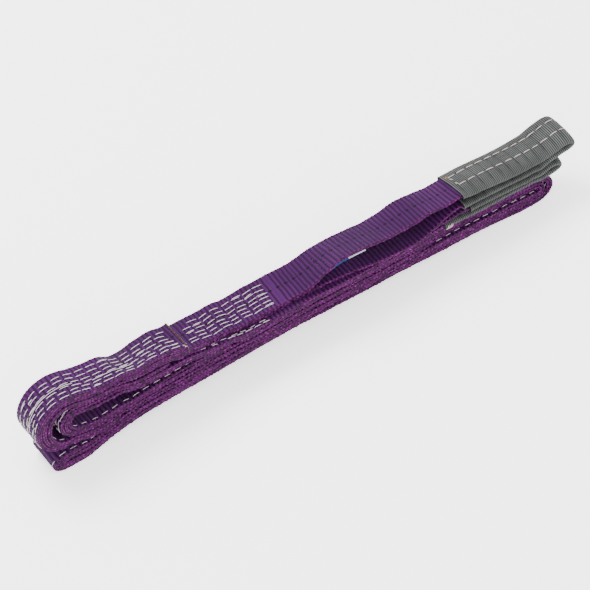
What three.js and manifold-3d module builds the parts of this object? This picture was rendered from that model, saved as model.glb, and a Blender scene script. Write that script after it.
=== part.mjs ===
// Flat web sling, duplex (two plies), 30 mm wide and 3 m long, folded into a bundle for storage.
// Millimetres. +X runs along the bundle towards the eyes, -Y is the near side, +Z is up.
// The section of the bundle is drawn in X and Z from STEP_X = 0, where the top ply ends, and every web is
// that section extruded across the web's width. The group is moved at the end, so that its origin is at
// the bottom centre of the bundle.
import * as THREE from 'three';
import { mergeVertices } from 'three/addons/utils/BufferGeometryUtils.js';
import Module from 'manifold-3d';

const wasm = await Module();
wasm.setup();

// ---- Driving dimensions -------------------------------------------------------------------------------

const WEB_WIDTH = 30;
const WEB_THICK = 2.5;         // firm core of one ply, inside its soft ribs
const PLY_PITCH = 2.95;        // from one ply to the next in the stack
const RUN_GAP = 0.6;           // extra room between two runs that only lie on each other
const SLEEVE_WIDTH = 34;
const SLEEVE_WALL = 1;
const SLEEVE_ROOM = 0.3;       // between the sleeve and the web inside it
const SLEEVE_THICK = WEB_THICK + 2 * (SLEEVE_WALL + SLEEVE_ROOM);
const SLEEVE_PITCH = SLEEVE_THICK + 0.9;
const SEAM_THICK = 0.25;       // sewing thread, lying flat on the web
const SEAM_WIDTH = 1;
const SEAM_ROOM = 0.17;        // between a thread and the face it lies on
const SEAM_SUNK = 0.03;        // a thread pressed into the web under the bundle lies this far below its face
const SEAM_GROOVE = 0.15;      // room round the thread where it is pressed in
const EDGE_SEAM_Y = 11.5;      // of the two edge seams, from the middle of the web
const SPLICE_ROWS = 7;
const SPLICE_SPACING = 2.7;
const UPPER_SLEEVE_SEAM = 13;  // between the two rows of each sleeve's seam
const LOWER_SLEEVE_SEAM = 14;
const SLEEVE_SEAM_Y = 3;       // middle of the two rows, towards the far side
const SLEEVE_SEAM_INSET = 3.5; // from the sleeve's ends
const SEAM_CLEARANCE = 0.6;    // keeps the seams of the two sleeves apart where they slope to the crowns
const LABEL_THICK = 0.7;
const LABEL_WIDTH = 28;
const LABEL_ROOM = 0.4;        // between the label and the leg that it hangs under
const LABEL_TACK_ROWS = 3;
const LABEL_TACK_SPACING = 6;
const CUT = 0.15;              // half the gap where two pieces meet end to end
const STEP_CLIMB = 0.7;        // where the splice thread climbs the cut end of a web

// places along the bundle
const STEP_X = 0;              // end of web one, on top of the upper splice
const LOWER_STEP_X = -16;      // end of web two, on top of the lower splice
const UPPER_TAIL_X = -64;      // end of the upper eye's tail, past the left fold
const LOWER_TAIL_X = 40;       // end of the lower eye's tail, past the inner left fold
const UPPER_SPLICE_X = 84;     // right end of the upper splice's stitches
const LOWER_SPLICE_X = 70;
const LOWER_HINGE_X = 100;     // where the lower eye bends up
const UPPER_HINGE_X = 130;     // where the upper eye bends up
const LEFT_OUTER_X = -112;     // where each fold begins
const LEFT_INNER_X = -100;
const LEFT_MIDDLE_X = -113;
const RIGHT_X = 347;
const LOWER_CROWN_X = 357;
const UPPER_CROWN_X = 372;

// how far the middle of each fold reaches beyond the place where it begins
const LEFT_OUTER_DEPTH = 19.6;
const LEFT_INNER_DEPTH = 12.4;
const LEFT_MIDDLE_DEPTH = 10.6;
const RIGHT_OUTER_DEPTH = 13;
const RIGHT_INNER_DEPTH = 5.4;
const LOWER_CROWN_DEPTH = 10;
const UPPER_CROWN_DEPTH = 8.5;

// how high each fold's hollow is
const LEFT_OUTER_HOLLOW = 2.8;
const LEFT_INNER_HOLLOW = 12.6;
const LEFT_MIDDLE_HOLLOW = 2.8;
const RIGHT_INNER_HOLLOW = 1;

// how far the legs of each eye spread before its crown, and where they begin to
const LOWER_CROWN_SPREAD = 3;
const UPPER_CROWN_SPREAD = 2.2;
const LOWER_CROWN_RISE = 0.8;
const LOWER_SPREAD_X = 342;
const UPPER_SPREAD_X = 350;
const SEAM_CLEARANCE_X = 330;
const UPPER_EYE_OPENS_X = 104;

// sleeves: where they begin on each leg
const UPPER_SLEEVE_X = 267;
const LOWER_SLEEVE_TOP_X = 273;
const LOWER_SLEEVE_BOTTOM_X = 248;

// the label under the upper leg, and the stitches that hold its root
const LABEL_ROOT_X = 132;
const LABEL_END_X = 172;
const LABEL_TACK_X = 140;

const VIOLET = { color: 0x5a1f86, roughness: 0.75, metalness: 0 };
const GREY = { color: 0x9aa0a2, roughness: 0.8, metalness: 0 };
const WHITE_THREAD = { color: 0xece8ee, roughness: 0.6, metalness: 0 };
const LABEL = { color: 0x2f74c8, roughness: 0.5, metalness: 0 };

// ---- Small helpers ------------------------------------------------------------------------------------

const smooth = (from, to, x) => THREE.MathUtils.smoothstep(x, from, to);
const bump = (a, b, c, d, x) => smooth(a, b, x) * (1 - smooth(c, d, x));

/** A smooth height over x through a few knots, with no overshoot between them. */
function profile(knots) {
  const rise = (i) => (knots[i + 1][1] - knots[i][1]) / (knots[i + 1][0] - knots[i][0]);
  const slope = (i) => {
    if (i === 0 || i === knots.length - 1) return 0;
    const [before, after] = [rise(i - 1), rise(i)];
    return before * after <= 0 ? 0 : (2 * before * after) / (before + after);
  };
  return (x) => {
    if (x <= knots[0][0]) return knots[0][1];
    if (x >= knots.at(-1)[0]) return knots.at(-1)[1];
    const i = knots.findIndex((knot) => knot[0] > x) - 1;
    const span = knots[i + 1][0] - knots[i][0];
    const t = (x - knots[i][0]) / span;
    return (
      knots[i][1] * (1 + 2 * t) * (1 - t) ** 2 +
      knots[i + 1][1] * t * t * (3 - 2 * t) +
      span * t * (1 - t) * (slope(i) * (1 - t) - slope(i + 1) * t)
    );
  };
}

// ---- The stack of runs --------------------------------------------------------------------------------

// Underside of the bundle: flat where it rests on its left end, then slightly arched.
const underside = profile([
  [-98, 0], [-86, 2.2], [-73, 5.4], [-58, 8.3], [-43, 10.3], [-13, 11.6], [45, 12.7],
  [95, 12.7], [142, 11.4], [190, 9.2], [238, 6.6], [287, 4], [318, 1.6], [334, 0],
]);

// Height that one ply takes. The sewn splices and the folds are bulkier than plain plies.
const SPLICE_BULK = [
  [-69, 3.2], [-53, 3.5], [-29, 4.1], [-13, 4.1], [0, 4.3], [17, 3.8], [32, 3.4], [60, 3.65], [95, 3.4],
  [125, 3.4], [165, 3.05], [200, PLY_PITCH],
];
const upperSplicePitch = profile([[-112, 4.3], [-98, 4.15], [-88, 3.8], ...SPLICE_BULK]);
const lowerSplicePitch = profile([[-112, 3.4], [-88, 3.4], ...SPLICE_BULK]);
const plainPitch = (x) => PLY_PITCH + 0.4 * bump(215, 255, 335, 352, x);
const foldPitch = (x) => plainPitch(x) + 1.2 * (1 - smooth(-108, -66, x));

// The lowest ply lies flat on its own face, however bulky the fold above it is.
const settled = (x) => (foldPitch(x) - PLY_PITCH) / 2;

// One ply more, up to the place where a tail or a cut end stops.
const extraPly = (end, x) => 1 - smooth(end, end + 12, x);

/** Number of plies in each run, the height of one, and the hollow under the run, from the bottom up. */
const RUNS = [
  { name: 'b3', plies: () => 2, pitch: foldPitch, below: (x) => -settled(x) },
  {
    name: 'a3',
    plies: () => 2,
    pitch: foldPitch,
    below: (x) => RUN_GAP + settled(x) + LEFT_MIDDLE_HOLLOW * (1 - smooth(-110, -84, x)),
  },
  {
    name: 'a2',
    plies: (x) => 2 + extraPly(UPPER_TAIL_X, x),
    pitch: plainPitch,
    below: (x) =>
      RUN_GAP + LEFT_OUTER_HOLLOW * (1 - smooth(-106, -66, x)) + RIGHT_INNER_HOLLOW * smooth(325, RIGHT_X, x),
  },
  { name: 'b2', plies: (x) => 2 + extraPly(LOWER_TAIL_X, x), pitch: plainPitch, below: () => RUN_GAP },
  {
    name: 'b1',
    plies: (x) => 2 + extraPly(LOWER_STEP_X, x),
    pitch: lowerSplicePitch,
    below: (x) => RUN_GAP + LEFT_INNER_HOLLOW * (1 - smooth(-74, -36, x)),
  },
  { name: 'a1', plies: () => 3, pitch: upperSplicePitch, below: () => RUN_GAP },
];

/** Height of the underside of a run at x. */
function runBottom(name, x) {
  let height = underside(x);
  for (const run of RUNS) {
    height += run.below(x);
    if (run.name === name) return height;
    height += run.plies(x) * run.pitch(x);
  }
  throw new Error(`no run ${name}`);
}

/** Middle of the nth ply from the bottom of a run, or from its top where n is negative. */
function plyHeight(name, n, x) {
  const run = RUNS.find((each) => each.name === name);
  const plies = n > 0 ? n - 0.5 : run.plies(x) + n + 0.5;
  return runBottom(name, x) + plies * run.pitch(x);
}

// ---- The eye legs -------------------------------------------------------------------------------------

// Half of the room that a leg takes in the stack: a bare web, or a web in its sleeve.
const room = (sleeveStart, x) =>
  THREE.MathUtils.lerp(lowerSplicePitch(x), SLEEVE_PITCH, smooth(sleeveStart - 34, sleeveStart - 4, x)) / 2;

const lowerEyeBottom = (x) =>
  runBottom('b1', Math.min(x, RIGHT_X)) + room(LOWER_SLEEVE_BOTTOM_X, x) +
  LOWER_CROWN_RISE * smooth(LOWER_SPREAD_X, LOWER_CROWN_X, x);
const lowerEyeTop = (x) =>
  lowerEyeBottom(x) + room(LOWER_SLEEVE_BOTTOM_X, x) + room(LOWER_SLEEVE_TOP_X, x) +
  LOWER_CROWN_SPREAD * smooth(LOWER_SPREAD_X, LOWER_CROWN_X, x);
const upperEyeBottom = (x) =>
  lowerEyeTop(Math.min(x, LOWER_CROWN_X)) + room(LOWER_SLEEVE_TOP_X, x) + room(UPPER_SLEEVE_X, x) +
  RUN_GAP * (1 - smooth(160, 200, x)) + SEAM_CLEARANCE * smooth(SEAM_CLEARANCE_X, RIGHT_X, x) +
  UPPER_CROWN_SPREAD * smooth(UPPER_SPREAD_X, UPPER_CROWN_X, x);

// The upper leg of the upper eye stands clear of the leg below, so the eye is open.
const upperLegHeight = profile([
  [112, 52.4], [124, 54.4], [134, 57.4], [148, 59.9], [156, 59.6], [165, 59], [177, 57.9], [190, 56.2],
  [204, 55.7], [222, 56.1], [234, 56.2], [250, 55.2], [261, 56], [270, 57.2], [284, 57.2], [300, 56.2],
  [319, 54.4], [334, 52.8], [349, 52], [364, 55], [372, 56.8],
]);
const upperEyeTop = (x) => {
  const closed = upperEyeBottom(x) + 2 * room(UPPER_SLEEVE_X, x);
  const open = smooth(UPPER_EYE_OPENS_X, UPPER_HINGE_X, x);
  return Math.max(closed, THREE.MathUtils.lerp(closed, upperLegHeight(x), open));
};

// ---- Lines of plies -----------------------------------------------------------------------------------

// Stations shared by all the runs, so that plies that lie on each other bend at the same places.
const STACK_STATIONS = [
  -106, -100, -88, -76, -64, -52, -36, -16, -4, 0, 18, 40, 52, 70, 100, 140, 190, 215, 235, 255, 290, 318,
  334, 342,
];
const EYE_STATIONS = [
  116, 124, 132, 140, 148, 156, 168, 190, 206, 222, 238, 248, 262, UPPER_SLEEVE_X, LOWER_SLEEVE_TOP_X, 290,
  318, 334, 342, 347, 352, 357, 363, 368,
];
const FOLD_STEPS = 7;

// Where each run lies: y is its sideways shift, tilt the rise of its near edge.
const sideways = (knots) => {
  const shift = profile(knots);
  return (x) => ({ y: shift(x), tilt: 0 });
};
const sideOf = {
  low: sideways([[-104, -1.6], [-70, 0], [210, 0], [250, -0.5]]),
  mid: sideways([[215, -0.4], [262, 2.1]]),
  b1: sideways([[-100, 1.6], [-8, 1.6], [34, -2.6], [90, -4.4]]),
  a1: sideways([[-112, 1.2], [-30, 1.6], [20, 0.8]]),
  lowerEye: sideways([[180, -4.4], [225, -1.6], [357, -1]]),
  upperEyeBottom: sideways([[100, 0.8], [140, -0.6], [190, -4.6], [220, -5], [262, -1], [372, -0.4]]),
  upperEyeTop: (x) => ({ y: 0.8, tilt: 0.2 * bump(LABEL_TACK_X, 156, 222, 252, x) }),
};

const point = (x, z, side) => ({ x, z, ...side(x) });

/** Points of a line along a run, from one x to another in either direction. */
function along(height, side, from, to, stations = STACK_STATIONS) {
  const inside = stations.filter((x) => x > Math.min(from, to) && x < Math.max(from, to));
  if (from > to) inside.reverse();
  return [from, ...inside, to].map((x) => point(x, height(x), side));
}

/** The same points, marked as the run that the bundle rests on. */
const resting = (points) => points.map((p) => ({ ...p, rests: true }));

/**
 * Points of a half-ellipse between two runs, without its ends; reach is positive to the right, and the
 * sides say how each run lies.
 */
function turn(x, fromZ, toZ, reach, fromSide, toSide = fromSide) {
  const middle = (fromZ + toZ) / 2;
  const radius = (fromZ - toZ) / 2;
  const [from, to] = [fromSide(x), toSide(x)];
  const points = [];
  for (let i = 1; i < FOLD_STEPS; i += 1) {
    const angle = (Math.PI * i) / FOLD_STEPS;
    const part = smooth(0, FOLD_STEPS, i);
    points.push({
      x: x + reach * Math.sin(angle),
      z: middle + radius * Math.cos(angle),
      y: THREE.MathUtils.lerp(from.y, to.y, part),
      tilt: THREE.MathUtils.lerp(from.tilt, to.tilt, part),
    });
  }
  return points;
}

/**
 * The sewn body of the sling as one line, from the upper splice to the lower splice.
 * Web one lies outside web two round the outer folds, and inside it round the inner left fold.
 */
function bodyLine(web, from, to) {
  const one = web === 'one';
  const outward = one ? 1 : -1;
  const ply = (name, onBottom) => (x) => plyHeight(name, onBottom ? 1 : -1, x);
  const height = {
    a1: one ? (x) => plyHeight('a1', 3, x) : (x) => plyHeight('a1', 1, x),
    a2: ply('a2', one),
    a3: ply('a3', !one),
    b3: ply('b3', one),
    b2: ply('b2', !one),
    b1: one ? (x) => plyHeight('b1', 1, x) : (x) => plyHeight('b1', 3, x),
  };
  const { low, mid, a1, b1 } = sideOf;
  const half = PLY_PITCH / 2;
  const outer = LEFT_OUTER_DEPTH + outward * upperSplicePitch(LEFT_OUTER_X);
  const inner = LEFT_INNER_DEPTH - outward * lowerSplicePitch(LEFT_INNER_X);
  const middle = LEFT_MIDDLE_DEPTH + (outward * foldPitch(LEFT_MIDDLE_X)) / 2;
  const fold = (x, from, to, reach, ...sides) => turn(x, height[from](x), height[to](x), reach, ...sides);
  return [
    ...along(height.a1, a1, from, LEFT_OUTER_X),
    ...fold(LEFT_OUTER_X, 'a1', 'a2', -outer, a1, mid),
    ...along(height.a2, mid, LEFT_OUTER_X, RIGHT_X),
    ...fold(RIGHT_X, 'a2', 'a3', RIGHT_INNER_DEPTH - outward * half, mid, low),
    ...along(height.a3, low, RIGHT_X, LEFT_MIDDLE_X),
    ...fold(LEFT_MIDDLE_X, 'a3', 'b3', -middle, low),
    ...(one ? resting : (points) => points)(along(height.b3, low, LEFT_MIDDLE_X, RIGHT_X)),
    ...fold(RIGHT_X, 'b3', 'b2', RIGHT_OUTER_DEPTH + outward * half, low, mid),
    ...along(height.b2, mid, RIGHT_X, LEFT_INNER_X),
    ...fold(LEFT_INNER_X, 'b2', 'b1', -inner, mid, b1),
    ...along(height.b1, b1, LEFT_INNER_X, to),
  ];
}

/** The tail of the upper eye, in the middle of the upper splice and round the left fold. */
function upperTailLine(from) {
  const above = (x) => plyHeight('a1', 2, x);
  const below = (x) => plyHeight('a2', 2, x);
  return [
    ...along(above, sideOf.a1, from, LEFT_OUTER_X),
    ...turn(LEFT_OUTER_X, above(LEFT_OUTER_X), below(LEFT_OUTER_X), -LEFT_OUTER_DEPTH, sideOf.a1, sideOf.mid),
    ...along(below, sideOf.mid, LEFT_OUTER_X, UPPER_TAIL_X),
  ];
}

/** The tail of the lower eye, in the middle of the lower splice and round the inner left fold. */
function lowerTailLine(from) {
  const above = (x) => plyHeight('b1', 2, x);
  const below = (x) => plyHeight('b2', 2, x);
  return [
    ...along(above, sideOf.b1, from, LEFT_INNER_X),
    ...turn(LEFT_INNER_X, above(LEFT_INNER_X), below(LEFT_INNER_X), -LEFT_INNER_DEPTH, sideOf.b1, sideOf.mid),
    ...along(below, sideOf.mid, LEFT_INNER_X, LOWER_TAIL_X),
  ];
}

/** One eye: along its top leg, round the crown and back along its bottom leg. */
function eyeLine({ top, bottom, topSide, bottomSide, crownX, depth }, topFrom, bottomTo) {
  return [
    ...along(top, topSide, topFrom, crownX, EYE_STATIONS),
    ...turn(crownX, top(crownX), bottom(crownX), depth, topSide, bottomSide),
    ...along(bottom, bottomSide, crownX, bottomTo, EYE_STATIONS),
  ];
}

const UPPER_EYE = {
  top: upperEyeTop,
  bottom: upperEyeBottom,
  topSide: sideOf.upperEyeTop,
  bottomSide: sideOf.upperEyeBottom,
  crownX: UPPER_CROWN_X,
  depth: UPPER_CROWN_DEPTH,
};
const LOWER_EYE = {
  top: lowerEyeTop,
  bottom: lowerEyeBottom,
  topSide: sideOf.lowerEye,
  bottomSide: sideOf.lowerEye,
  crownX: LOWER_CROWN_X,
  depth: LOWER_CROWN_DEPTH,
};

// ---- Solids -------------------------------------------------------------------------------------------

/** The line moved to its left, with mitred corners; distance is a number or depends on the point. */
function offsetLine(line, distance) {
  return line.map((p, i) => {
    const before = line[Math.max(i - 1, 0)];
    const after = line[Math.min(i + 1, line.length - 1)];
    const into = new THREE.Vector2(p.x - before.x, p.z - before.z);
    const out = new THREE.Vector2(after.x - p.x, after.z - p.z);
    if (i === 0) into.copy(out);
    if (i === line.length - 1) out.copy(into);
    into.normalize();
    out.normalize();
    const middle = into.clone().add(out).normalize();
    const reach = typeof distance === 'function' ? distance(p) : distance;
    const mitre = reach / Math.max(middle.dot(out), 0.6);
    return { ...p, x: p.x - middle.y * mitre, z: p.z + middle.x * mitre };
  });
}

/** A flat band along a line: a box with a segment for each stretch, bent onto the line. */
function band(line, thick, width, middleY = 0) {
  const segments = line.length - 1;
  const geometry = new THREE.BoxGeometry(segments, width, thick, segments, 1, 1);
  const left = offsetLine(line, thick / 2);
  const right = offsetLine(line, -thick / 2);
  const position = geometry.attributes.position;
  for (let i = 0; i < position.count; i += 1) {
    const station = Math.round(position.getX(i) + segments / 2);
    const p = (position.getZ(i) > 0 ? left : right)[station];
    const y = position.getY(i) + middleY;
    position.setXYZ(i, p.x, y + p.y, p.z - p.tilt * y);
  }
  geometry.deleteAttribute('normal');
  geometry.deleteAttribute('uv');
  return mergeVertices(geometry, 1e-4);
}

function toManifold(geometry) {
  const mesh = new wasm.Mesh({
    numProp: 3,
    vertProperties: Float32Array.from(geometry.attributes.position.array),
    triVerts: Uint32Array.from(geometry.index.array),
  });
  return new wasm.Manifold(mesh);
}

function toGeometry(manifold) {
  const { vertProperties, triVerts } = manifold.getMesh();
  const geometry = new THREE.BufferGeometry();
  geometry.setAttribute('position', new THREE.BufferAttribute(vertProperties, 3));
  geometry.setIndex(new THREE.BufferAttribute(triVerts, 1));
  return geometry;
}

/** The line made longer by a distance at both ends. */
function lengthened(line, distance) {
  const beyond = (end, next) => {
    const run = Math.hypot(end.x - next.x, end.z - next.z);
    const scale = distance / run;
    return { ...end, x: end.x + (end.x - next.x) * scale, z: end.z + (end.z - next.z) * scale };
  };
  return [beyond(line[0], line[1]), ...line, beyond(line.at(-1), line.at(-2))];
}

/** A flat tube round a web: the outer band less the room for the web. */
function sleeve(line) {
  const hollow = WEB_THICK + 2 * SLEEVE_ROOM;
  const outer = toManifold(band(line, SLEEVE_THICK, SLEEVE_WIDTH));
  const inner = toManifold(band(lengthened(line, 3), hollow, WEB_WIDTH + 2 * SLEEVE_ROOM));
  return toGeometry(outer.subtract(inner));
}

/** Rows of thread side by side along a line, joined into one thread at alternate ends. */
function seamRows(line, rows, spacing, middleY = 0) {
  const rowY = (row) => (row - (rows - 1) / 2) * spacing + middleY;
  let thread = toManifold(band(line, SEAM_THICK, SEAM_WIDTH, rowY(0)));
  for (let row = 1; row < rows; row += 1) {
    const end = row % 2 ? line.slice(0, 2) : line.slice(-2);
    const at = row % 2 ? 0 : 1;
    const other = end[1 - at];
    const reach = SEAM_WIDTH / Math.hypot(other.x - end[at].x, other.z - end[at].z);
    const near = {
      ...other,
      x: THREE.MathUtils.lerp(end[at].x, other.x, reach),
      z: THREE.MathUtils.lerp(end[at].z, other.z, reach),
      y: THREE.MathUtils.lerp(end[at].y, other.y, reach),
      tilt: THREE.MathUtils.lerp(end[at].tilt, other.tilt, reach),
    };
    const link = at === 0 ? [end[0], near] : [near, end[1]];
    const linkY = (rowY(row) + rowY(row - 1)) / 2;
    thread = thread.add(toManifold(band(line, SEAM_THICK, SEAM_WIDTH, rowY(row))));
    thread = thread.add(toManifold(band(link, SEAM_THICK, spacing + SEAM_WIDTH, linkY)));
  }
  return toGeometry(thread);
}

// ---- The pieces ---------------------------------------------------------------------------------------

const group = new THREE.Group();

function piece(name, geometry, look) {
  const mesh = new THREE.Mesh(geometry, new THREE.MeshStandardMaterial(look));
  mesh.name = name;
  group.add(mesh);
}

/** The line of a thread that lies on a face of a band of some thickness; side is +1 on the line's left. */
const threadLine = (line, thick, side) =>
  offsetLine(line, (p) =>
    side * (p.rests ? thick / 2 - SEAM_SUNK - SEAM_THICK / 2 : thick / 2 + SEAM_ROOM + SEAM_THICK / 2));

/** A web with a groove wherever its thread is pressed into it. */
function grooved(web, thread) {
  const room = (y) => toManifold(band(thread, SEAM_THICK + 2 * SEAM_GROOVE, SEAM_WIDTH + 4 * SEAM_GROOVE, y));
  return toGeometry(toManifold(web).subtract(room(-EDGE_SEAM_Y)).subtract(room(EDGE_SEAM_Y)));
}

/** A splice thread: on the tail up to the cut end of the web, then up and along the web. */
function spliceLine(tail, web, side, stepX) {
  const climb = tail.findIndex((p) => p.x < stepX + STEP_CLIMB);
  const low = threadLine(tail, WEB_THICK, side).slice(0, climb + 1);
  const high = threadLine(web, WEB_THICK, side);
  const foot = { ...low.at(-1), x: stepX + STEP_CLIMB };
  const head = { ...high[0], x: stepX + STEP_CLIMB / 2 };
  return [...low.slice(0, -1), foot, head, ...high.slice(1)];
}

const bodyOne = bodyLine('one', STEP_X, LOWER_HINGE_X - CUT);
const bodyTwo = bodyLine('two', LOWER_HINGE_X - CUT, LOWER_STEP_X);
const upperTail = upperTailLine(LOWER_HINGE_X - CUT);
const lowerTail = lowerTailLine(LOWER_HINGE_X - CUT);
const needle = threadLine(bodyOne, WEB_THICK, -1);
const bobbin = threadLine(bodyTwo, WEB_THICK, 1);
piece('web_one_body', grooved(band(bodyOne, WEB_THICK, WEB_WIDTH), needle), VIOLET);
piece('web_two_body', band(bodyTwo, WEB_THICK, WEB_WIDTH), VIOLET);
piece('web_two_tail', band(upperTail, WEB_THICK, WEB_WIDTH), VIOLET);
piece('web_one_tail', band(lowerTail, WEB_THICK, WEB_WIDTH), VIOLET);

// Edge seams: the needle thread lies on web one and the bobbin thread on web two.
for (const [edge, y] of [['near', -EDGE_SEAM_Y], ['far', EDGE_SEAM_Y]]) {
  piece(`${edge}_edge_needle_thread`, band(needle, SEAM_THICK, SEAM_WIDTH, y), WHITE_THREAD);
  piece(`${edge}_edge_bobbin_thread`, band(bobbin, SEAM_THICK, SEAM_WIDTH, y), WHITE_THREAD);
}

const lowerEye = eyeLine(LOWER_EYE, LOWER_HINGE_X + CUT, LOWER_HINGE_X + CUT);
const upperEye = eyeLine(UPPER_EYE, UPPER_HINGE_X + CUT, UPPER_HINGE_X + CUT);
piece('web_one_eye_loop', band(lowerEye, WEB_THICK, WEB_WIDTH), VIOLET);
piece('web_two_eye_loop', band(upperEye, WEB_THICK, WEB_WIDTH), VIOLET);
for (const [leg, height, side] of [
  ['top', upperEyeTop, sideOf.upperEyeTop],
  ['bottom', upperEyeBottom, sideOf.upperEyeBottom],
]) {
  const root = along(height, side, LOWER_HINGE_X + CUT, UPPER_HINGE_X - CUT, EYE_STATIONS);
  piece(`web_two_${leg}_root`, band(root, WEB_THICK, WEB_WIDTH), VIOLET);
}

piece('upper_wear_sleeve', sleeve(eyeLine(UPPER_EYE, UPPER_SLEEVE_X, UPPER_SLEEVE_X)), GREY);
piece('lower_wear_sleeve', sleeve(eyeLine(LOWER_EYE, LOWER_SLEEVE_TOP_X, LOWER_SLEEVE_BOTTOM_X)), GREY);
for (const [name, eye, top, bottom, spacing] of [
  ['upper', UPPER_EYE, UPPER_SLEEVE_X, UPPER_SLEEVE_X, UPPER_SLEEVE_SEAM],
  ['lower', LOWER_EYE, LOWER_SLEEVE_TOP_X, LOWER_SLEEVE_BOTTOM_X, LOWER_SLEEVE_SEAM],
]) {
  const line = eyeLine(eye, top + SLEEVE_SEAM_INSET, bottom + SLEEVE_SEAM_INSET);
  const seam = seamRows(threadLine(line, SLEEVE_THICK, 1), 2, spacing, SLEEVE_SEAM_Y);
  piece(`${name}_sleeve_seam_thread`, seam, WHITE_THREAD);
}

// Splice threads: rows along the tails, from the eyes' roots round the left folds to the tails' ends.
const upToTailEnd = (line, x) =>
  line.slice(0, line.findIndex((p, i) => i > 0 && p.x > line[i - 1].x && p.x >= x) + 1);
const aroundUpper = upToTailEnd(bodyOne, UPPER_TAIL_X);
const aroundLower = upToTailEnd(bodyTwo.toReversed(), LOWER_TAIL_X);
const upperSplice = spliceLine(upperTailLine(UPPER_SPLICE_X), aroundUpper, -1, STEP_X);
const lowerSplice = spliceLine(lowerTailLine(LOWER_SPLICE_X), aroundLower, -1, LOWER_STEP_X);
piece('upper_splice_thread', seamRows(upperSplice, SPLICE_ROWS, SPLICE_SPACING), WHITE_THREAD);
piece('lower_splice_thread', seamRows(lowerSplice, SPLICE_ROWS, SPLICE_SPACING), WHITE_THREAD);

const labelHeight = (x) => upperEyeTop(x) - WEB_THICK / 2 - LABEL_ROOM - LABEL_THICK / 2;
const label = along(labelHeight, sideOf.upperEyeTop, LABEL_ROOT_X, LABEL_END_X, EYE_STATIONS);
piece('label', band(label, LABEL_THICK, LABEL_WIDTH), LABEL);
const tack = along(upperEyeTop, sideOf.upperEyeTop, LABEL_ROOT_X, LABEL_TACK_X, EYE_STATIONS);
const labelTack = seamRows(threadLine(tack, WEB_THICK, 1), LABEL_TACK_ROWS, LABEL_TACK_SPACING);
piece('label_tack_thread', labelTack, WHITE_THREAD);

// The origin is at the bottom centre of the bundle.
const bounds = new THREE.Box3().setFromObject(group);
const centre = bounds.getCenter(new THREE.Vector3());
for (const mesh of group.children) mesh.geometry.translate(-centre.x, -centre.y, -bounds.min.z);

export default group;
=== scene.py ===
"""Looks of the folded flat web sling.

Lengths are in millimetres along the bundle, with x = 0 at the step where the top ply ends, until to_row()
turns them into the frame's metres.
"""

import math
from collections import namedtuple

import bpy
import numpy as np
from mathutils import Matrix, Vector


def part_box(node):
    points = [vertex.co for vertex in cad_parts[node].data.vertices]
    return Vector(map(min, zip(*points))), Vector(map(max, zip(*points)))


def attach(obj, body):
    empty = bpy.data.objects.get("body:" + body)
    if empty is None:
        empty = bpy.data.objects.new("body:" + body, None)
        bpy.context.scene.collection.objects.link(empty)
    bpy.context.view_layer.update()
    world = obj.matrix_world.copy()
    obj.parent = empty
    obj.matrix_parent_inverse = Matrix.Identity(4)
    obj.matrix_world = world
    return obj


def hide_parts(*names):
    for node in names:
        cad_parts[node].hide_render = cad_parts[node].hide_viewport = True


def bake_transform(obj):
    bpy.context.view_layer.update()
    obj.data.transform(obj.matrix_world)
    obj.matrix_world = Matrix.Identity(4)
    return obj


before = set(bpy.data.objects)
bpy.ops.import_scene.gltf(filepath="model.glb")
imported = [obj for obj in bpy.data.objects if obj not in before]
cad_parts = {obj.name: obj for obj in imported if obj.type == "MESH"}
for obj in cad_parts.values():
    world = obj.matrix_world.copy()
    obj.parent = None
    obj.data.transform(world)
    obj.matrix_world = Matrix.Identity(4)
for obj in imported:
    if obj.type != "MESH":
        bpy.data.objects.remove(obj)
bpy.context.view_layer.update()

# ---- Driving dimensions ----

WEB_WIDTH = 30.0
PLY_PITCH = 2.95  # height that a plain ply takes in the stack
RIB_PITCH = 3.8
SLEEVE_RIB_PITCH = 1.65
SLEEVE_WIDTH = 34.0  # of the flat tube
SLEEVE_THICK = 5.1
SLEEVE_PITCH = 6.0  # height that a sleeved leg takes
EDGE_SEAM_Y = 12.3

LOWER_STEP_X = -16.0  # where web two's ply ends on top of the lower splice
UPPER_TAIL_X, LOWER_TAIL_X = -64.0, 40.0
UPPER_SPLICE_X, LOWER_SPLICE_X = 90.0, 76.0
SPLIT_X = 70.0  # a web's still part ends here and its bending part begins
LOWER_HINGE_X, UPPER_HINGE_X = 100.0, 130.0
HINGE_REACH = 15.0  # each bend is spread this far to both sides of its hinge
ROOT_END_X = LOWER_HINGE_X + HINGE_REACH
LEFT_OUTER_X, LEFT_INNER_X, LEFT_MIDDLE_X, RIGHT_X = -112.0, -100.0, -113.0, 347.0
LOWER_CROWN_X, UPPER_CROWN_X = 357.0, 372.0
UPPER_SLEEVE_X, LOWER_SLEEVE_TOP_X, LOWER_SLEEVE_BOTTOM_X = 267.0, 273.0, 248.0

# How far the middle of each fold stands out beyond the x where it starts.
LEFT_OUTER_REACH, LEFT_INNER_REACH, LEFT_MIDDLE_REACH = 19.6, 12.4, 10.6
RIGHT_OUTER_REACH, RIGHT_INNER_REACH = 13.0, 5.4
LOWER_CROWN_REACH, UPPER_CROWN_REACH = 10.0, 8.5
OUTER_SWELL, INNER_SWELL = 0.38, 0.13  # the plies of the left folds are softer, and touch round the bend

STEP = 0.5  # spacing of points on a ply's centre line
LINE_BLUR = 2.0  # length over which kinks in a centre line are smoothed away

ROOT_LOW, ROOT_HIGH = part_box("web_two_top_root")
SHIFT_X = LOWER_HINGE_X + 0.15 - ROOT_LOW.x * 1000
SHIFT_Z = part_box("web_one_body")[0].z * 1000


def to_row(points):
    """Millimetres in the bundle's section to metres in the row frame."""
    return (np.asarray(points, float) - (SHIFT_X, 0, -SHIFT_Z)) / 1000


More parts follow.
